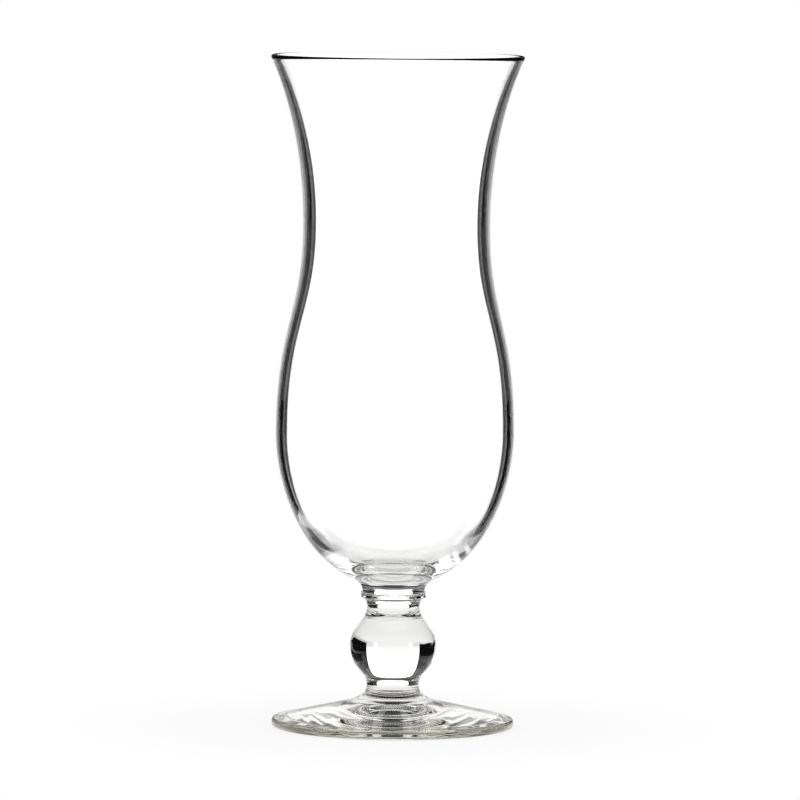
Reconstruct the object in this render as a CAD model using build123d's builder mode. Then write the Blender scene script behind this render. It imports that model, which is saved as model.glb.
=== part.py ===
# Hurricane glass: a blown bowl, a joining collar, a ball stem and a pressed foot, fused end to end.
# Millimetres, +Z up. The origin is the middle of the ring on which the foot rests.
import os
from math import cos, radians, sin, tan

from build123d import *

# Foot: a shallow cone with a rounded edge, hollowed below
foot_diameter = 75.0
foot_edge_height = 2.6  # top of the edge, if it were square
foot_edge_round = 1.1
foot_height = 12.6  # resting plane to the joint with the stem
cone_top_diameter = 32.0  # where the cone turns up into the throat
cone_top_height = 7.4
rest_ring_width = 4.5  # flat ring that carries the glass
kick_depth = 2.4  # hollow of the underside, at its middle
kick_crown_diameter = 32.0  # where the hollow's sides, drawn on, would meet its flat middle

# Stem: solid, a ball between two necks
neck_diameter = 16.2
ball_diameter = 26.5
lower_neck = 13.2  # joint with the foot to the ball's middle
upper_neck = 14.4  # the ball's middle to the collar
stem_flare = 1.5  # how far the stem spreads under the collar
stem_flare_height = 2.8
stem_flare_corner = 1.0  # how far below the collar the spread turns outwards

# Stem: shares of the rise that a curve keeps its end's direction for
down_from_ball = 0.70
down_to_neck = 0.44
up_from_ball = 0.43
up_to_neck = 0.385

# Collar: a thin disc that stands out all round
collar_thickness = 1.7
collar_overhang = 0.45
collar_edge_round = 0.25

# Bowl: heights from one station to the next, outer diameters and walls
heel_height = 4.1  # collar to where the heel's hollow ends
heel_spread = 3.0
belly_rise = 49.1  # collar to the widest place
shoulder_rise = 65.2  # widest place to the waist
flare_rise = 50.6  # waist to the rim's outer edge
rim_diameter = 78.1
waist_diameter = 57.8
belly_diameter = 73.8
rim_wall = 1.6
waist_wall = 2.7
belly_wall = 2.15
base_thickness = 6.1  # glass under the inside of the bowl, over the collar
corner_diameter = 30.0  # where the wall inside turns into the floor
corner_rise = 3.2  # the floor to there

# Bowl: how its curves run from station to station
rim_lean = 27.0  # degrees from upright, at the rim
heel_lean = 65.0  # degrees from upright, where the base runs into the heel
corner_lean = 63.5  # degrees from upright, where the wall inside turns into the floor
flare_from_waist = 0.50  # shares of the rise that a curve keeps its end's direction for
flare_to_rim = 0.14
shoulder_from_waist = 0.44
shoulder_to_belly = 0.52
base_from_belly = 0.28
base_to_heel = 0.46
inside_from_belly = 0.28
inside_to_corner = 0.43
floor_to_corner = 0.25  # shares of the corner's radius
floor_from_middle = 0.50

# Levels and radii that several pieces share
neck_radius = neck_diameter / 2
joint_radius = neck_radius + stem_flare
collar_radius = joint_radius + collar_overhang
ball_level = foot_height + lower_neck
stem_top = ball_level + upper_neck
bowl_base = stem_top + collar_thickness
belly_level = bowl_base + belly_rise
waist_level = belly_level + shoulder_rise
rim_level = waist_level + flare_rise

os.makedirs("parts", exist_ok=True)


# Foot
foot_radius = foot_diameter / 2
cone_top_radius = cone_top_diameter / 2
cone_slope = (cone_top_height - foot_edge_height) / (foot_radius - cone_top_radius)
throat_level = cone_top_height + cone_slope * (cone_top_radius - neck_radius)
kick_radius = foot_radius - foot_edge_round - rest_ring_width

with BuildPart() as foot:
    with BuildSketch(Plane.XZ):
        with BuildLine():
            Line((0, kick_depth), (0, foot_height))
            Line((0, foot_height), (neck_radius, foot_height))
            Bezier((neck_radius, foot_height), (neck_radius, throat_level), (cone_top_radius, cone_top_height))
            Line((cone_top_radius, cone_top_height), (foot_radius, foot_edge_height))
            Line((foot_radius, foot_edge_height), (foot_radius, 0))
            Line((foot_radius, 0), (kick_radius, 0))
            Bezier((kick_radius, 0), (kick_crown_diameter / 2, kick_depth), (0, kick_depth))
        make_face()
    revolve(axis=Axis.Z)
    fillet(foot.edges().filter_by(GeomType.CIRCLE).group_by(SortBy.RADIUS)[-1], foot_edge_round)
foot.part.label = "foot"
export_step(foot.part, "parts/foot.step")


# Stem
ball_radius = ball_diameter / 2
flare_level = stem_top - stem_flare_height
neck_rise = flare_level - ball_level

with BuildPart() as stem:
    with BuildSketch(Plane.XZ):
        with BuildLine():
            Line((0, stem_top), (0, foot_height))
            Line((0, foot_height), (neck_radius, foot_height))
            Bezier(
                (neck_radius, foot_height),
                (neck_radius, foot_height + down_to_neck * lower_neck),
                (ball_radius, ball_level - down_from_ball * lower_neck),
                (ball_radius, ball_level),
            )
            Bezier(
                (ball_radius, ball_level),
                (ball_radius, ball_level + up_from_ball * neck_rise),
                (neck_radius, flare_level - up_to_neck * neck_rise),
                (neck_radius, flare_level),
            )
            Bezier(
                (neck_radius, flare_level),
                (neck_radius, stem_top - stem_flare_corner),
                (joint_radius, stem_top),
            )
            Line((joint_radius, stem_top), (0, stem_top))
        make_face()
    revolve(axis=Axis.Z)
stem.part.label = "stem"
export_step(stem.part, "parts/stem.step")


# Collar
with BuildPart() as collar:
    with BuildSketch(Plane.XY.offset(stem_top)):
        Circle(collar_radius)
    extrude(amount=collar_thickness)
    fillet(collar.edges().filter_by(GeomType.CIRCLE), collar_edge_round)
collar.part.label = "collar"
export_step(collar.part, "parts/collar.step")


# Bowl
def along(point, lean, reach):
    """The point that lies reach away in the direction that leans outwards from upright."""
    return (point[0] + reach * sin(radians(lean)), point[1] + reach * cos(radians(lean)))


def upper_wall(rim, waist_radius, belly_radius):
    """One face of the bowl's wall in section, from the rim through the waist to the belly."""
    flare = rim[1] - waist_level
    Bezier(
        rim,
        along(rim, rim_lean, -flare_to_rim * flare),
        (waist_radius, waist_level + flare_from_waist * flare),
        (waist_radius, waist_level),
    )
    Bezier(
        (waist_radius, waist_level),
        (waist_radius, waist_level - shoulder_from_waist * shoulder_rise),
        (belly_radius, belly_level + shoulder_to_belly * shoulder_rise),
        (belly_radius, belly_level),
    )


belly_radius = belly_diameter / 2
waist_radius = waist_diameter / 2
inner_belly_radius = belly_radius - belly_wall
floor_level = bowl_base + base_thickness
rim_outside = (rim_diameter / 2, rim_level)
rim_across = rim_lean - 90  # square to the wall at the rim, inwards
rim_inside = along(rim_outside, rim_across, rim_wall)
rim_middle = along(rim_outside, rim_across, rim_wall / 2)
rim_crest = along(rim_middle, rim_lean, rim_wall / 2)
heel_top = (joint_radius + heel_spread, bowl_base + heel_height)
heel_corner = (joint_radius, heel_top[1] - heel_spread / tan(radians(heel_lean)))
base_drop = belly_level - heel_top[1]
inner_corner = (corner_diameter / 2, floor_level + corner_rise)
inner_drop = belly_level - inner_corner[1]

with BuildPart() as bowl:
    with BuildSketch(Plane.XZ):
        with BuildLine():
            upper_wall(rim_outside, waist_radius, belly_radius)
            Bezier(
                (belly_radius, belly_level),
                (belly_radius, belly_level - base_from_belly * base_drop),
                along(heel_top, heel_lean, base_to_heel * base_drop),
                heel_top,
            )
            Bezier(heel_top, heel_corner, (joint_radius, bowl_base))
            Line((joint_radius, bowl_base), (0, bowl_base))
            Line((0, bowl_base), (0, floor_level))
            Bezier(
                (0, floor_level),
                (floor_from_middle * inner_corner[0], floor_level),
                along(inner_corner, corner_lean, -floor_to_corner * inner_corner[0]),
                inner_corner,
            )
            Bezier(
                inner_corner,
                along(inner_corner, corner_lean, inside_to_corner * inner_drop),
                (inner_belly_radius, belly_level - inside_from_belly * inner_drop),
                (inner_belly_radius, belly_level),
            )
            upper_wall(rim_inside, waist_radius - waist_wall, inner_belly_radius)
            ThreePointArc(rim_inside, rim_crest, rim_outside)
        make_face()
    revolve(axis=Axis.Z)
bowl.part.label = "bowl"
export_step(bowl.part, "parts/bowl.step")
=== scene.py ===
# A hurricane glass on white. Its four fused pieces are turned from their sections and lit from behind,
# with dark sides, so that the clear edges draw themselves.
from math import atan2, cos, degrees, hypot, pi, radians, sin, sqrt, tan

import bpy
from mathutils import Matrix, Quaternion, Vector


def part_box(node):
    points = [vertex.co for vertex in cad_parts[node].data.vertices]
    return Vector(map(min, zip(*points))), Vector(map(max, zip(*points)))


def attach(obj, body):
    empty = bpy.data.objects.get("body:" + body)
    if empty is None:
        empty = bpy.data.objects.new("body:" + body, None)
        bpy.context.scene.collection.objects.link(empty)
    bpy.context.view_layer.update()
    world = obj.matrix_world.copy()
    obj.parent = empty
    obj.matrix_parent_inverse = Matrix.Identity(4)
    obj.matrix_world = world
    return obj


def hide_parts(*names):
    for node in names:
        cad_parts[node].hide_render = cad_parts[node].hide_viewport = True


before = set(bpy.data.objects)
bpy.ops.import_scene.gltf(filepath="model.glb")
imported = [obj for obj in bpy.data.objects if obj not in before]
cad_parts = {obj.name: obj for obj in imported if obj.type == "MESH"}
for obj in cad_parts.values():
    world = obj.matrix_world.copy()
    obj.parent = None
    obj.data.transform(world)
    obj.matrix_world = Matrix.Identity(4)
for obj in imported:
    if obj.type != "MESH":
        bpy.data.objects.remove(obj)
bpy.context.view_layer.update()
mm = 0.001
scene = bpy.context.scene


# Shader wiring

class Wire:
    # a socket that can be used in sums; with no socket it only makes nodes

    def __init__(self, tree, socket=None):
        self.tree = tree
        self.socket = socket

    def node(self, kind, settings=None, sockets=None):
        made = self.tree.nodes.new(kind)
        for name, value in (settings or {}).items():
            setattr(made, name, value)
        for name, value in (sockets or {}).items():
            if isinstance(value, Wire):
                self.tree.links.new(value.socket, made.inputs[name])
            else:
                made.inputs[name].default_value = value
        return Wire(self.tree, made.outputs[0] if made.outputs else None)

    def out(self, name):
        return Wire(self.tree, self.socket.node.outputs[name])

    def sum(self, operation, *values):
        return self.node("ShaderNodeMath", {"operation": operation}, dict(enumerate(values)))

    def __add__(self, other):
        return self.sum("ADD", self, other)

    def __radd__(self, other):
        return self.sum("ADD", other, self)

    def __sub__(self, other):
        return self.sum("SUBTRACT", self, other)

    def __rsub__(self, other):
        return self.sum("SUBTRACT", other, self)

    def __mul__(self, other):
        return self.sum("MULTIPLY", self, other)

    def __rmul__(self, other):
        return self.sum("MULTIPLY", other, self)

    def __abs__(self):
        return self.sum("ABSOLUTE", self)

    def orMore(self, other):
        # the larger of the two
        return self.sum("MAXIMUM", self, other)

    def fade(self, start, end, before=0.0, after=1.0):
        # eases from one value to another while this one goes from start to end
        return self.node(
            "ShaderNodeMapRange",
            {"interpolation_type": "SMOOTHSTEP"},
            {"Value": self, "From Min": start, "From Max": end, "To Min": before, "To Max": after},
        )

    def fadeOut(self, start, end):
        return self.fade(start, end, 1.0, 0.0)

    def between(self, low, high, soft):
        return self.fade(low - soft, low + soft) * self.fadeOut(high - soft, high + soft)

    def mixTo(self, other, share):
        return self + (other - self) * share


plainWhite = (1.0, 1.0, 1.0, 1.0)


def emptyTree(owner):
    owner.use_nodes = True
    owner.node_tree.nodes.clear()
    return Wire(owner.node_tree)


def glow(wire, strength, kind="ShaderNodeEmission"):
    return wire.node(kind, {}, {"Color": plainWhite, "Strength": strength})


def mixed(wire, share, first, second):
    return wire.node("ShaderNodeMixShader", {}, {0: share, 1: first, 2: second})


# Glass

glassLook = {  # what all of it shares
    "ior": 1.52,
    "cordDetail": 2.0,
    "cordRoughness": 0.4,
    "hazeDetail": 3.0,
    "hazeFrom": (0.52, 0.75),
}
blown = {
    "color": (0.992, 0.994, 0.990, 1.0),
    "edgeColor": (0.975, 0.980, 0.970, 1.0),  # towards the rim
    "edgeFrom": (36.5 * mm, 39.0 * mm),
    "cordScale": 90.0,
    "cordDepth": 0.004 * mm,
    "hazeScale": 60.0,
    "haze": 0.006,
}
pressed = {
    "color": (0.970, 0.972, 0.960, 1.0),
    "cordScale": 170.0,
    "cordDepth": 0.012 * mm,
    "hazeScale": 90.0,
    "haze": 0.008,
}
mouldMarked = {  # the foot keeps the skin of its mould
    "color": (0.960, 0.950, 0.920, 1.0),
    "edgeColor": (0.700, 0.680, 0.590, 1.0),  # olive towards the edge, the glass's own tint where it is thick, and darker there as painted shade for the dark streaks where the foot is seen edge on
    "edgeFrom": (32.5 * mm, 37.2 * mm),
    "cordScale": 260.0,
    "cordDepth": 0.003 * mm,
    "hazeScale": 140.0,
    "haze": 0.012,
}


def tintedEdge(wire, place, look):
    # the colour changes with the distance from the axis
    flat = wire.node("ShaderNodeVectorMath", {"operation": "MULTIPLY"}, {0: place, 1: (1.0, 1.0, 0.0)})
    reach = wire.node("ShaderNodeVectorMath", {"operation": "LENGTH"}, {0: flat}).out("Value")
    return wire.node(
        "ShaderNodeMix",
        {"data_type": "RGBA"},
        {0: reach.fade(*look["edgeFrom"]), 6: look["color"], 7: look["edgeColor"]},
    ).out(2)


def clearGlass(name, look):
    glass = bpy.data.materials.new(name)
    wire = emptyTree(glass)
    place = wire.node("ShaderNodeTexCoord").out("Object")
    cords = wire.node(  # faint draw marks that the fire polish has softened
        "ShaderNodeTexNoise",
        {},
        {
            "Vector": place,
            "Scale": look["cordScale"],
            "Detail": glassLook["cordDetail"],
            "Roughness": glassLook["cordRoughness"],
        },
    )
    haze = wire.node(
        "ShaderNodeTexNoise",
        {},
        {"Vector": place, "Scale": look["hazeScale"], "Detail": glassLook["hazeDetail"]},
    )
    bump = wire.node(
        "ShaderNodeBump",
        {},
        {"Strength": 1.0, "Distance": look["cordDepth"], "Height": cords},
    )
    shader = wire.node(
        "ShaderNodeBsdfPrincipled",
        {},
        {
            "Base Color": tintedEdge(wire, place, look) if "edgeColor" in look else look["color"],
            "Roughness": haze.fade(*glassLook["hazeFrom"]) * look["haze"],
            "IOR": glassLook["ior"],
            "Transmission Weight": 1.0,
            "Normal": bump,
        },
    )
    wire.node("ShaderNodeOutputMaterial", {}, {"Surface": shader})
    return glass


def seeThrough(name):
    joint = bpy.data.materials.new(name)
    wire = emptyTree(joint)
    shader = wire.node("ShaderNodeBsdfPrincipled", {}, {"Base Color": plainWhite, "Alpha": 0.0})
    wire.node("ShaderNodeOutputMaterial", {}, {"Surface": shader})
    return joint


blownGlass = clearGlass("blownGlass", blown)
pressedGlass = clearGlass("pressedGlass", pressed)
footGlass = clearGlass("footGlass", mouldMarked)
fusedJoint = seeThrough("fusedJoint")  # where two pieces run together there is no face to see
print("glass mixed")


# Sections: lists of (radius, height), in metres

fusedRadius = {
    "foot": 8.1 * mm,  # foot and stem
    "collar": 9.6 * mm,  # stem and collar, collar and bowl
}
onAxis = 0.001 * mm  # a point this near to the axis is a pole


def bezier(*points, steps):
    run = []
    for step in range(steps + 1):
        share = step / steps
        hull = [Vector(p) for p in points]
        while len(hull) > 1:
            hull = [a.lerp(b, share) for a, b in zip(hull, hull[1:])]
        run.append((hull[0].x, hull[0].y))
    return run


def arc(centre, radius, start, end, steps):
    # degrees from straight out, turning upwards
    run = []
    for step in range(steps + 1):
        angle = radians(start + (end - start) * step / steps)
        run.append((centre[0] + radius * cos(angle), centre[1] + radius * sin(angle)))
    return run


def straight(start, end, steps=1):
    a, b = Vector(start), Vector(end)
    return [tuple(a.lerp(b, step / steps)) for step in range(steps + 1)]


def along(point, lean, reach):
    # degrees from upright, leaning outwards
    return (point[0] + reach * sin(radians(lean)), point[1] + reach * cos(radians(lean)))


def turn(name, runs, sides, finishes, crease=40.0):
    # turns a section about Z; each run of it has its points and the number of its finish
    section, bands = [], []
    for points, finish in runs:
        section.extend(points[1:] if section else points)
        bands.extend([finish] * (len(points) - 1))
    verts, rings = [], []
    for radius, height in section:
        first = len(verts)
        if radius < onAxis:
            verts.append((0.0, 0.0, height))
            rings.append([first] * sides)
        else:
            for side in range(sides):
                angle = 2 * pi * side / sides
                verts.append((radius * cos(angle), radius * sin(angle), height))
            rings.append(list(range(first, first + sides)))
    faces, marks = [], []
    for lower, upper, finish in zip(rings, rings[1:], bands):
        for side in range(sides):
            following = (side + 1) % sides
            corners = [lower[side], lower[following], upper[following], upper[side]]
            faces.append(list(dict.fromkeys(corners)))
            marks.append(finish)
    mesh = bpy.data.meshes.new(name)
    mesh.from_pydata(verts, [], faces)
    for finish in finishes:
        mesh.materials.append(finish)
    mesh.polygons.foreach_set("material_index", marks)
    mesh.shade_smooth()
    mesh.set_sharp_from_angle(angle=radians(crease))
    mesh.update()
    piece = bpy.data.objects.new(name, mesh)
    scene.collection.objects.link(piece)
    return piece


def seat(piece, node):
    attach(piece, "root")
    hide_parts(node)
    print("%s: %d faces" % (piece.name, len(piece.data.polygons)))


# Foot

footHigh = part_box("foot")[1]
footLook = {
    "radius": footHigh.x,
    "top": footHigh.z,
    "edgeHeight": 2.6 * mm,
    "edgeRound": 1.1 * mm,
    "coneRadius": 16.0 * mm,
    "coneHeight": 7.4 * mm,
    "neckRadius": fusedRadius["foot"],
    "restRing": 4.5 * mm,
    "kickDepth": 2.4 * mm,
    "kickCrown": 16.0 * mm,
    "waveDepth": 0.02 * mm,
    "waveLength": 16.0 * mm,
    "calmEdge": 5.0 * mm,  # the waves die out over this much towards the edge
    "calmNeck": 6.0 * mm,  # and towards the neck
    "stillNeck": 1.0 * mm,
    "sides": 288,
}


def makeFoot(look):
    slope = (look["coneHeight"] - look["edgeHeight"]) / (look["radius"] - look["coneRadius"])
    tilt = hypot(1, slope)
    rounding = look["edgeRound"]
    inset = look["radius"] - rounding
    edgeTop = (inset, look["edgeHeight"] + slope * rounding - tilt * rounding)
    coneEdge = (edgeTop[0] + rounding * slope / tilt, edgeTop[1] + rounding / tilt)
    coneTop = (look["coneRadius"], look["coneHeight"])
    throat = look["coneHeight"] + slope * (look["coneRadius"] - look["neckRadius"])
    kickEdge = (inset - look["restRing"], 0.0)
    neck = (look["neckRadius"], look["top"])
    hollow = bezier((0.0, look["kickDepth"]), (look["kickCrown"], look["kickDepth"]), kickEdge, steps=60)
    ring = straight(kickEdge, (inset, 0.0), steps=6)
    lowerRound = arc((inset, rounding), rounding, -90.0, 0.0, steps=14)
    wall = straight((look["radius"], rounding), (look["radius"], edgeTop[1]), steps=2)
    upperRound = arc(edgeTop, rounding, 0.0, 90.0 - degrees(atan2(slope, 1)), steps=14)
    cone = straight(coneEdge, coneTop, steps=50)
    rise = bezier(coneTop, (look["neckRadius"], throat), neck, steps=40)
    joint = straight(neck, (0.0, look["top"]))
    runs = [(run, 0) for run in (hollow, ring, lowerRound, wall, upperRound, cone, rise)] + [(joint, 1)]
    foot = turn("pressedFoot", runs, look["sides"], [footGlass, fusedJoint])
    addWaves(foot.data, look, inset, edgeTop[1])
    return foot


def addWaves(mesh, look, inset, lowest):
    # the glass was worked while soft, and the cone and the hollow under it kept faint waves:
    # two sets that cross, each bent by the other
    for corner in mesh.vertices:
        x, y, z = corner.co
        reach = hypot(x, y)
        offNeck = reach - look["neckRadius"]
        if z < lowest or offNeck < look["stillNeck"]:
            continue
        calm = min(1.0, (inset - reach) / look["calmEdge"]) * min(1.0, offNeck / look["calmNeck"])
        turnX = 2 * pi * x / look["waveLength"]
        turnY = 2 * pi * y / look["waveLength"]
        wave = sin(turnX + 0.8 * sin(0.7 * turnY)) * sin(0.8 * turnY + 1.1 * sin(0.5 * turnX + 1.0))
        corner.co.z += look["waveDepth"] * max(0.0, calm) * wave
    mesh.update()


seat(makeFoot(footLook), "foot")


# Stem

stemLow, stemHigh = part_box("stem")
stemLook = {
    "bottom": stemLow.z,
    "top": stemHigh.z,
    "ballRadius": stemHigh.x,
    "ballLevel": stemLow.z + 13.2 * mm,
    "neckRadius": fusedRadius["foot"],
    "jointRadius": fusedRadius["collar"],
    "flareHeight": 2.8 * mm,
    "flareCorner": 1.0 * mm,
    "upFromBall": 0.43,  # shares of the rise that a curve keeps its end's direction for
    "upToNeck": 0.385,
    "downFromBall": 0.70,
    "downToNeck": 0.44,
    "sides": 288,
}


def makeStem(look):
    neck, ball, level = look["neckRadius"], look["ballRadius"], look["ballLevel"]
    flareStart = (neck, look["top"] - look["flareHeight"])
    drop, rise = level - look["bottom"], flareStart[1] - level
    lower = bezier(
        (neck, look["bottom"]),
        (neck, look["bottom"] + look["downToNeck"] * drop),
        (ball, level - look["downFromBall"] * drop),
        (ball, level),
        steps=80,
    )
    upper = bezier(
        (ball, level),
        (ball, level + look["upFromBall"] * rise),
        (neck, flareStart[1] - look["upToNeck"] * rise),
        flareStart,
        steps=80,
    )
    flareTop = (look["jointRadius"], look["top"])
    flare = bezier(flareStart, (neck, look["top"] - look["flareCorner"]), flareTop, steps=24)
    bottomJoint = straight((0.0, look["bottom"]), (neck, look["bottom"]))
    topJoint = straight(flareTop, (0.0, look["top"]))
    runs = [(bottomJoint, 1), (lower, 0), (upper, 0), (flare, 0), (topJoint, 1)]
    return turn("ballStem", runs, look["sides"], [pressedGlass, fusedJoint])


seat(makeStem(stemLook), "stem")


# Collar

collarLow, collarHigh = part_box("collar")
collarLook = {
    "bottom": collarLow.z,
    "top": collarHigh.z,
    "radius": collarHigh.x,
    "jointRadius": fusedRadius["collar"],
    "edgeRound": 0.25 * mm,
    "sides": 288,
}


def makeCollar(look):
    rounding = look["edgeRound"]
    inset = look["radius"] - rounding
    low, high, joint = look["bottom"], look["top"], look["jointRadius"]
    runs = [
        (straight((0.0, low), (joint, low)), 1),
        (straight((joint, low), (inset, low)), 0),
        (arc((inset, low + rounding), rounding, -90.0, 0.0, steps=12), 0),
        (straight((look["radius"], low + rounding), (look["radius"], high - rounding), steps=4), 0),
        (arc((inset, high - rounding), rounding, 0.0, 90.0, steps=12), 0),
        (straight((inset, high), (joint, high)), 0),
        (straight((joint, high), (0.0, high)), 1),
    ]
    return turn("joiningCollar", runs, look["sides"], [pressedGlass, fusedJoint])


seat(makeCollar(collarLook), "collar")


# Bowl

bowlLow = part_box("bowl")[0]
bowlLook = {
    "base": bowlLow.z,
    "jointRadius": fusedRadius["collar"],
    "heelHeight": 4.1 * mm,
    "heelSpread": 3.0 * mm,
    "bellyLevel": bowlLow.z + 49.1 * mm,
    "shoulderRise": 65.2 * mm,
    "flareRise": 50.6 * mm,
    "rimRadius": 39.05 * mm,
    "waistRadius": 28.9 * mm,
    "bellyRadius": 36.9 * mm,
    "rimWall": 1.6 * mm,
    "waistWall": 2.7 * mm,
    "bellyWall": 2.15 * mm,
    "baseThickness": 6.1 * mm,
    "cornerRadius": 15.0 * mm,  # where the wall inside turns into the floor
    "cornerRise": 3.2 * mm,
    "cornerLean": 63.5,
    "rimLean": 27.0,
    "heelLean": 65.0,
    "flareFromWaist": 0.50,  # shares of the rise that a curve keeps its end's direction for
    "flareToRim": 0.14,
    "shoulderFromWaist": 0.44,
    "shoulderToBelly": 0.52,
    "baseFromBelly": 0.28,
    "baseToHeel": 0.46,
    "insideFromBelly": 0.28,
    "insideToCorner": 0.43,
    "floorToCorner": 0.25,  # shares of the corner's radius
    "floorFromMiddle": 0.50,
    "sides": 288,
}


def wallUp(look, rim, waistRadius, bellyRadius):
    # one face of the wall, from the belly through the waist to the rim
    belly = look["bellyLevel"]
    waist = belly + look["shoulderRise"]
    flare = rim[1] - waist
    shoulder = bezier(
        (bellyRadius, belly),
        (bellyRadius, belly + look["shoulderToBelly"] * look["shoulderRise"]),
        (waistRadius, waist - look["shoulderFromWaist"] * look["shoulderRise"]),
        (waistRadius, waist),
        steps=48,
    )
    mouth = bezier(
        (waistRadius, waist),
        (waistRadius, waist + look["flareFromWaist"] * flare),
        along(rim, look["rimLean"], -look["flareToRim"] * flare),
        rim,
        steps=42,
    )
    return shoulder + mouth[1:]


def makeBowl(look):
    belly = look["bellyLevel"]
    innerBelly = look["bellyRadius"] - look["bellyWall"]
    floor = look["base"] + look["baseThickness"]
    rimAcross = look["rimLean"] - 90  # square to the wall at the rim, inwards
    rimOut = (look["rimRadius"], belly + look["shoulderRise"] + look["flareRise"])
    rimIn = along(rimOut, rimAcross, look["rimWall"])
    rimMiddle = along(rimOut, rimAcross, look["rimWall"] / 2)
    joint = (look["jointRadius"], look["base"])
    heelTop = (joint[0] + look["heelSpread"], look["base"] + look["heelHeight"])
    heelCorner = (joint[0], heelTop[1] - look["heelSpread"] / tan(radians(look["heelLean"])))
    drop = belly - heelTop[1]
    heel = bezier(joint, heelCorner, heelTop, steps=16)
    base = bezier(
        heelTop,
        along(heelTop, look["heelLean"], look["baseToHeel"] * drop),
        (look["bellyRadius"], belly - look["baseFromBelly"] * drop),
        (look["bellyRadius"], belly),
        steps=48,
    )
    outside = wallUp(look, rimOut, look["waistRadius"], look["bellyRadius"])
    lip = arc(rimMiddle, look["rimWall"] / 2, -look["rimLean"], 180.0 - look["rimLean"], steps=16)
    inside = wallUp(look, rimIn, look["waistRadius"] - look["waistWall"], innerBelly)[::-1]
    corner = (look["cornerRadius"], floor + look["cornerRise"])
    dip = belly - corner[1]
    side = bezier(
        (innerBelly, belly),
        (innerBelly, belly - look["insideFromBelly"] * dip),
        along(corner, look["cornerLean"], look["insideToCorner"] * dip),
        corner,
        steps=40,
    )
    bottom = bezier(
        corner,
        along(corner, look["cornerLean"], -look["floorToCorner"] * corner[0]),
        (look["floorFromMiddle"] * corner[0], floor),
        (0.0, floor),
        steps=40,
    )
    skin = [(run, 0) for run in (heel, base, outside, lip, inside, side, bottom)]
    runs = [(straight((0.0, look["base"]), joint), 1)] + skin
    return turn("blownBowl", runs, look["sides"], [blownGlass, fusedJoint])


seat(makeBowl(bowlLook), "bowl")


# What a ray has met in the glass, counted in mirrorings, or in faces passed through where it says so

rayCounts = {
    "mirrored": (0.4, 0.6),
    "piped": (2.5, 4.5),
    "pipedOut": (13.0, 17.0),
    "pipedLeft": 0.2,  # what piped light keeps after that
    "twoWalls": (2.5, 3.5),  # faces passed through
    "overheadEnd": (2.4, 2.6),
    "deep": (2.2, 2.8),
    "last": (11.0, 15.0),
}


def throughGlass(wire):
    path = wire.node("ShaderNodeLightPath")
    return path, path.out("Is Glossy Ray").orMore(path.out("Is Transmission Ray"))


def straightThrough(path):
    # 1 for what the glass shows straight through, 0 for anything mirrored in it
    return path.out("Glossy Depth").fadeOut(*rayCounts["mirrored"])


def pipedLight(path):
    # light that runs on inside a wall, from face to face, comes out pale, and after very many turns dim
    depth = path.out("Glossy Depth")
    return depth.fade(*rayCounts["piped"]) * depth.fade(*rayCounts["pipedOut"], 1.0, rayCounts["pipedLeft"])


def strip(first, second, reaches, edge):
    # 1 inside a rectangle, given as the lowest and highest value of each coordinate
    return first.between(*reaches[0], edge) * second.between(*reaches[1], edge)


# Floor

floorLook = {
    "radius": 3.2,
    "gap": 0.05 * mm,
    "color": (0.95, 0.95, 0.95, 1.0),
    "glow": 0.75,
    "shadowReach": 0.05,
    "shadowEnd": 0.12,
    "paleTone": 0.93,  # what the glass sees of the table top
    "backTone": 1.0,  # the same towards the white board
    "backFrom": (0.060, 0.110),
    "sideTone": 0.60,  # the same towards the edges of the pale strip
    "sideFrom": (0.050, 0.068),
    "darkTone": 0.004,
    "pipedFrom": (0.012, 0.030),
    "pipedUpTo": (0.080, 0.120),
    "underStem": ((-0.008, 0.008), (0.027, 0.048)),  # the foot's own shadow behind the stem
    "shade": (-0.093, -0.045),  # on the left, mirrored light finds the table in shade between these
    "backStrip": ((-0.122, 0.077), (-0.100, 0.180)),  # pale strips under each board: across, along
    "sideStrip": ((-0.050, 0.050), (-0.145, 0.620)),
    "laneHalf": 0.034,  # pale lanes lead away behind the two corner views
    "laneSpread": (0.12, 0.26, 0.40),  # behind one piece of glass, behind two walls, to the front
    "laneBack": 0.62,
    "laneEnd": 0.18,  # the ball and the foot find the lane at the back dark beyond this
    "laneLow": (-0.006, -0.002),  # ray length less distance: below this a ray left the glass low down
    "laneFront": 3.0,
    "laneSoft": 0.015,
    "laneTone": 1.12,
    "laneFrom": (0.120, 0.300),
    "edge": 0.004,
    "steps": 8,
    "sides": 96,
}


def paleLanes(look, path, x, y, away):
    oneGlass, twoWalls, toFront = look["laneSpread"]
    diagonal = sqrt(0.5)  # the lanes run between the axes
    ahead = (x - y) * diagonal
    aside = (x + y) * diagonal
    inFront = ahead.fade(-look["laneHalf"], look["laneHalf"])
    walls = path.out("Transmission Depth").fade(*rayCounts["twoWalls"])
    spread = (walls * (twoWalls - oneGlass) + oneGlass).mixTo(toFront, inFront)
    offLane = abs(aside) - (away * spread + look["laneHalf"])
    lane = offLane.fadeOut(-look["laneSoft"], look["laneSoft"])
    lane = lane * ahead.fade(-look["laneBack"], look["edge"] - look["laneBack"])
    lane = lane * ahead.fadeOut(look["laneFront"] - look["edge"], look["laneFront"])
    fromLow = (path.out("Ray Length") - away).fadeOut(*look["laneLow"]) * (1.0 - walls)
    farOff = away.fade(look["laneEnd"] - look["edge"], look["laneEnd"] + look["edge"])
    lane = lane * (1.0 - farOff * fromLow * (1.0 - inFront))
    return lane.orMore(strip(y, 0.0 - x, look["sideStrip"], look["edge"]))


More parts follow.
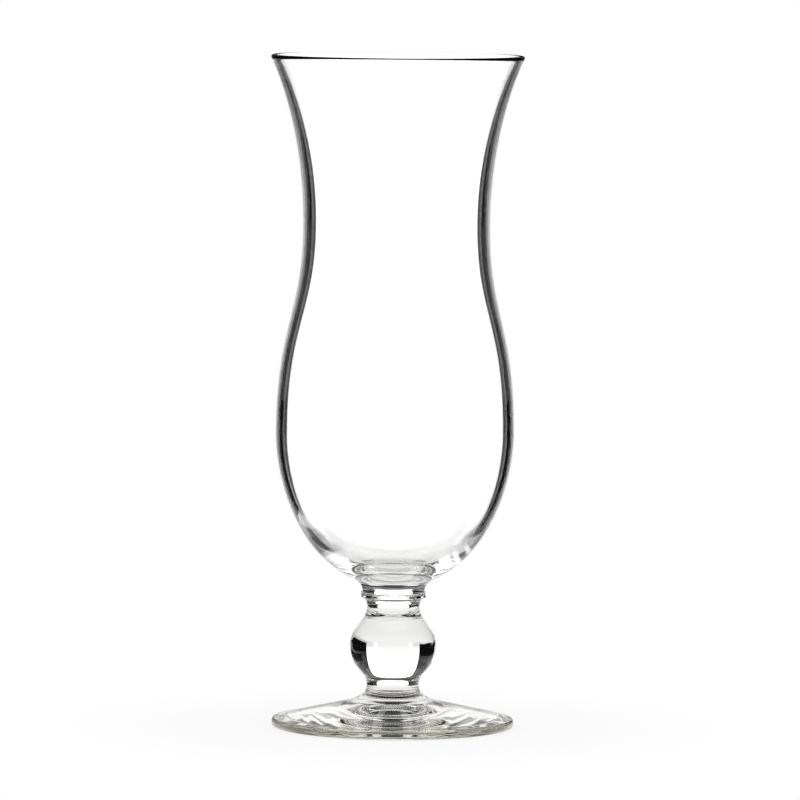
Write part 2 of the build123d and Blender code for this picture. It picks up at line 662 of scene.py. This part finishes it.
def floorPaint(look):
    paint = bpy.data.materials.new("paleFloor")
    wire = emptyTree(paint)
    path, inGlass = throughGlass(wire)
    straightOn = straightThrough(path)
    place = wire.node("ShaderNodeTexCoord").out("Object")
    away = wire.node("ShaderNodeVectorMath", {"operation": "LENGTH"}, {0: place}).out("Value")
    parts = wire.node("ShaderNodeSeparateXYZ", {}, {0: place})
    x, y = parts.out("X"), parts.out("Y")
    lanes = paleLanes(look, path, x, y, away) * straightOn
    shaded = strip(x, y, (look["shade"], (0.0, look["radius"])), look["edge"])
    clearPart = strip(x, y, look["backStrip"], look["edge"]) * (1.0 - shaded * (1.0 - straightOn))
    clearPart = clearPart * (1.0 - strip(x, y, look["underStem"], look["edge"]))
    piped = pipedLight(path) * abs(x).fade(*look["pipedFrom"]) * away.fadeOut(*look["pipedUpTo"])
    lit = lanes.orMore(clearPart).orMore(piped)
    sideways = abs(x).fade(*look["sideFrom"]) * (1.0 - lanes)
    inLane = lanes * away.fade(*look["laneFrom"])
    toned = mixed(wire, y.fade(*look["backFrom"]), glow(wire, look["paleTone"]), glow(wire, look["backTone"]))
    toned = mixed(wire, sideways, toned, glow(wire, look["sideTone"]))
    toned = mixed(wire, inLane, toned, glow(wire, look["laneTone"]))
    glassy = mixed(wire, lit, glow(wire, look["darkTone"]), toned)
    matt = wire.node("ShaderNodeBsdfDiffuse", {}, {"Color": look["color"]})
    shown = path.out("Is Camera Ray") * away.fade(look["shadowReach"], look["shadowEnd"], look["glow"], 1.0)
    seen = mixed(wire, shown, matt, glow(wire, 1.0))
    wire.node("ShaderNodeOutputMaterial", {}, {"Surface": mixed(wire, inGlass, seen, glassy)})
    return paint


def makeFloor(look):
    run = straight((look["radius"], 0.0), (0.0, 0.0), look["steps"])
    floor = turn("paleFloor", [(run, 0)], look["sides"], [floorPaint(look)])
    floor.location.z = -look["gap"]


makeFloor(floorLook)
print("floor laid")


# Boards: a white one behind the glass and one farther off to its side

boardLook = {
    "reach": 0.150,
    "half": 0.135,
    "high": 0.300,
    "white": 1.4,  # makes up for what the faces of the glass reflect away
    "whiteHalf": 0.072,
    "whiteFoot": 0.131,  # for mirrored light, the white spreads this far at the table on the left
    "footHeight": 0.026,
    "footTone": 0.75,
    "whiteTop": (0.203, 0.206),
    "whiteEdge": 1.9,  # the white at its sides, which are seen through steeper glass
    "edgeFrom": (0.035, 0.055),
    "grey": 0.15,
    "greyHalf": 0.098,
    "greyFrom": (0.088, 0.100),
    "greyNear": 0.25,  # share of the grey that is left beside the white
    "dark": 0.004,
    "tableTone": 0.96,  # straight through the glass, the white comes out of the table's tone
    "tableTop": 0.045,
    "tableSide": (0.032, 0.044),
    "lowTone": 0.85,  # towards its sides, the white is darker next to the table
    "lowFrom": (0.008, 0.032),
    "lowSide": (0.038, 0.050),
    "mirrored": 0.5,  # share of the white that mirrored light finds
    "shade": (-0.083, -0.045),  # on the left, it finds the foot of the board in shade between these
    "shadeTop": 0.030,
    "shadeDepth": 0.6,
    "shadeSoft": 0.004,
    "middleShade": 0.034,  # light mirrored up from the foot passes over the middle of the board
    "lowMiddle": (0.048, 0.056),  # and low down over more of it
    "lowMiddleTop": (0.055, 0.060),
    "pipedFrom": (0.020, 0.036),  # piped light leaves towards the sides
    "edge": 0.0008,
    "sideReach": 0.600,
    "sideScale": (2.6, 1.0, 1.3),
}


def boardWhite(look, wire, path, across, up, inFoot):
    white = mixed(
        wire,
        across.fade(*look["edgeFrom"]),
        glow(wire, look["white"]),
        glow(wire, look["whiteEdge"]),
    )
    onBack = wire.node("ShaderNodeObjectInfo").out("Object Index")  # 0 on the side board
    atTable = up.fadeOut(0.0, look["tableTop"]) * across.fadeOut(*look["tableSide"])
    atTable = atTable * straightThrough(path) * onBack
    white = mixed(wire, atTable, white, glow(wire, look["tableTone"]))
    lowSide = up.fadeOut(*look["lowFrom"]) * across.fade(*look["lowSide"])
    white = mixed(wire, lowSide, white, glow(wire, look["lowTone"]))
    return mixed(wire, inFoot, white, glow(wire, look["footTone"]))


def boardShade(look, path, side, across, up, inFoot):
    # how much of the white is hidden from mirrored light
    edge, soft, top = look["edge"], look["shadeSoft"], look["shadeTop"]
    above = up.fade(top, top + soft)
    shaded = side.between(*look["shade"], edge) * up.fadeOut(top - edge, top + edge) * look["shadeDepth"]
    middle = across.fadeOut(look["middleShade"] - soft, look["middleShade"] + soft)
    lowMiddle = across.fadeOut(*look["lowMiddle"]) * up.fadeOut(*look["lowMiddleTop"])
    lowMiddle = lowMiddle * path.out("Glossy Depth").fade(*rayCounts["deep"])
    shaded = shaded.orMore(middle * above).orMore(lowMiddle * above)
    shaded = shaded.orMore((1.0 - inFoot) * (1.0 - look["mirrored"]))
    return shaded * (1.0 - pipedLight(path) * across.fade(*look["pipedFrom"]))


def boardCard(look):
    card = bpy.data.materials.new("boardCard")
    wire = emptyTree(card)
    path = wire.node("ShaderNodeLightPath")
    parts = wire.node("ShaderNodeSeparateXYZ", {}, {0: wire.node("ShaderNodeTexCoord").out("Object")})
    side, up = parts.out("X"), parts.out("Z")
    across = abs(side)
    edge = look["edge"]
    mirrored = 1.0 - straightThrough(path)
    spread = (up * (-1 / look["footHeight"]) + 1.0) * (look["whiteFoot"] - look["whiteHalf"])
    spread = spread * side.fadeOut(-mm, mm) * mirrored
    past = across - (spread.orMore(0.0) + look["whiteHalf"])  # how far outside the white
    inWhite = past.fadeOut(-edge, edge) * up.fadeOut(*look["whiteTop"])
    inFoot = (across - look["whiteHalf"]).fade(-edge, edge)
    inGrey = across.fadeOut(look["greyHalf"] - edge, look["greyHalf"] + edge) * up.fade(*look["greyFrom"])
    greyShare = inGrey * past.fade(0.0, look["greyHalf"] - look["whiteHalf"], look["greyNear"], 1.0)
    white = boardWhite(look, wire, path, across, up, inFoot)
    hidden = mirrored * boardShade(look, path, side, across, up, inFoot)
    grey = mixed(wire, greyShare, glow(wire, look["dark"]), glow(wire, look["grey"]))
    whole = mixed(wire, inWhite * (1.0 - hidden), grey, white)
    clear = wire.node("ShaderNodeBsdfTransparent")
    cut = mixed(wire, inGrey.orMore(inWhite), clear, whole)
    wire.node("ShaderNodeOutputMaterial", {}, {"Surface": cut})
    card.cycles.emission_sampling = "NONE"
    return card


def setBoards(look):
    half, high = look["half"], look["high"]
    mesh = bpy.data.meshes.new("whiteBoard")
    corners = [(-half, 0.0, 0.0), (half, 0.0, 0.0), (half, 0.0, high), (-half, 0.0, high)]
    mesh.from_pydata(corners, [], [(0, 1, 2, 3)])
    mesh.materials.append(boardCard(look))
    for name, isBack, place, turned, scale in (
        ("backBoard", True, (0.0, look["reach"], 0.0), 0.0, (1.0, 1.0, 1.0)),
        ("sideBoard", False, (-look["sideReach"], 0.0, 0.0), 90.0, look["sideScale"]),
    ):
        board = bpy.data.objects.new(name, mesh)
        scene.collection.objects.link(board)
        board.location = place
        board.rotation_euler.z = radians(turned)
        board.scale = scale
        board.visible_camera = False
        board.visible_diffuse = False
        board.visible_shadow = False
        board.visible_glossy = isBack
        board.pass_index = int(isBack)


setBoards(boardLook)
print("boards lit")


# Room: white to the camera, and almost dark to the glass

roomLook = {
    "room": 0.004,
    "sky": 0.015,
    "skyFrom": (5.0, 9.0),  # degrees above the horizon
    "overhead": 1.4,
    "overheadFrom": (48.5, 51.5),
    "pipedUpTo": (20.0, 30.0),
    "pipedFront": 0.25,  # share of the piped light that leaves to the front
    "frontFrom": (-0.75, -0.45),
    "lastOfIt": 0.25,  # what is left after a great many mirrorings
}


def rises(angles):
    return [sin(radians(angle)) for angle in angles]


def makeRoom(look):
    world = bpy.data.worlds.new("whiteRoom")
    scene.world = world
    wire = emptyTree(world)
    path, inGlass = throughGlass(wire)
    depth = path.out("Glossy Depth")
    heading = wire.node("ShaderNodeSeparateXYZ", {}, {0: wire.node("ShaderNodeTexCoord").out("Generated")})
    rise = heading.out("Z")
    inSky = rise.fade(*rises(look["skyFrom"]))
    inOverhead = rise.fade(*rises(look["overheadFrom"])) * path.out("Is Transmission Ray")
    inOverhead = inOverhead * depth.fadeOut(*rayCounts["overheadEnd"])
    lowDown = rise.fadeOut(*rises(look["pipedUpTo"]))
    lowDown = lowDown * heading.out("Y").fade(*look["frontFrom"], look["pipedFront"], 1.0)
    piped = (pipedLight(path) * lowDown).orMore(depth.fade(*rayCounts["last"]) * look["lastOfIt"])
    room, sky, overhead, white = (
        glow(wire, strength, "ShaderNodeBackground")
        for strength in (look["room"], look["sky"], look["overhead"], 1.0)
    )
    dim = mixed(wire, inSky, room, sky)
    dim = mixed(wire, inOverhead.orMore(piped), dim, overhead)
    wire.node("ShaderNodeOutputWorld", {}, {"Surface": mixed(wire, inGlass, white, dim)})


makeRoom(roomLook)
print("room darkened")


# Camera

cameraLook = {
    "distance": 2.25,
    "height": 0.268,
    "aim": (0.0015, 0.0, 0.1014),
    "lens": 328.4,
    "sensor": 36.0,
    "roll": 0.5,
}
bounces = {  # light runs a long way inside clear glass
    "max_bounces": 32,
    "transmission_bounces": 32,
    "glossy_bounces": 32,
    "transparent_max_bounces": 64,
}


def placeCamera(look):
    data = bpy.data.cameras.new("catalogueCamera")
    data.lens = look["lens"]
    data.sensor_width = look["sensor"]
    camera = bpy.data.objects.new("catalogueCamera", data)
    scene.collection.objects.link(camera)
    aim = Vector(look["aim"])
    camera.location = (aim.x, -look["distance"], look["height"])
    facing = (aim - camera.location).to_track_quat("-Z", "Y")
    roll = Quaternion((0.0, 0.0, 1.0), radians(look["roll"]))
    camera.rotation_euler = (facing @ roll).to_euler()
    scene.camera = camera


placeCamera(cameraLook)
scene.view_settings.view_transform = "Standard"
for name, count in bounces.items():
    setattr(scene.cycles, name, count)
print("camera placed")
